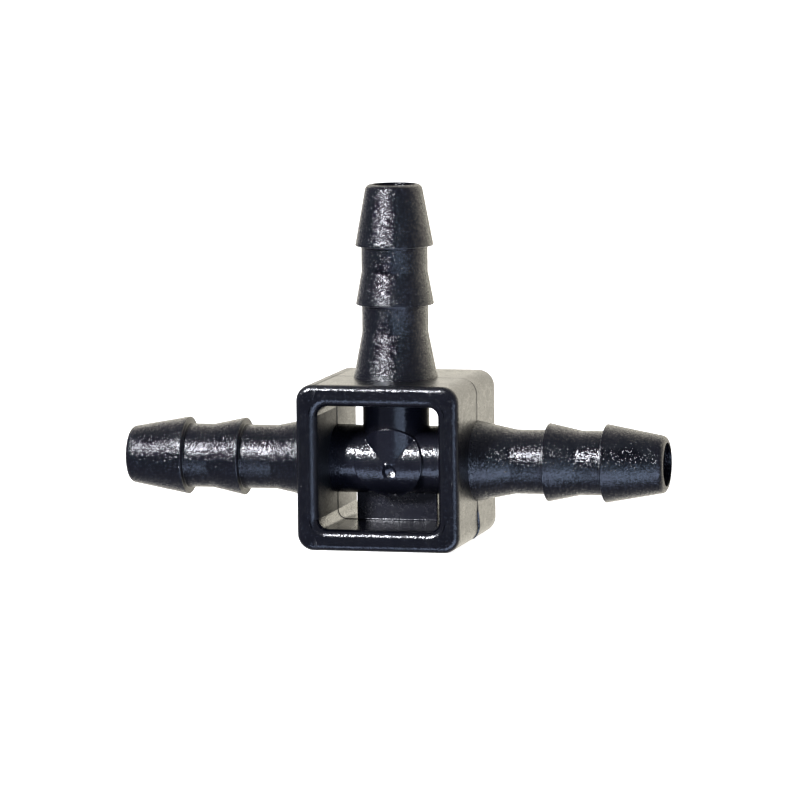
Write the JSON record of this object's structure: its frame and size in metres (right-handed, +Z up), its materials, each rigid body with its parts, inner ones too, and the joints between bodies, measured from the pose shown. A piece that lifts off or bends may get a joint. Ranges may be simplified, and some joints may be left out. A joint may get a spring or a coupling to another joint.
{
  "type": "barbed tee connector",
  "caption": "Plastic tee fitting for small irrigation tubing, with a barbed spigot on each port and a square window frame round the junction.",
  "frame": {"origin": "centre of the square frame's flat underside; the crossing of the run's and the branch's axes is 6 mm above it", "axes": "+X along the run, towards the right spigot; +Z up along the branch spigot; -Y towards the front, where the gate mark is"},
  "size_m": [0.04, 0.012, 0.026],
  "materials": {
    "moulding": "semi-gloss black polypropylene, mirror-like on the frame and finely textured on the spigots"
  },
  "bodies": {
    "root": {"frame_left_wall": "moulding", "frame_right_wall": "moulding", "frame_top_wall": "moulding", "frame_bottom_wall": "moulding", "run_tube": "moulding", "branch_tube": "moulding", "left_spigot": "moulding", "right_spigot": "moulding", "branch_spigot": "moulding", "gate_boss": "moulding", "support_web": "moulding"}
  },
  "joints": []
}
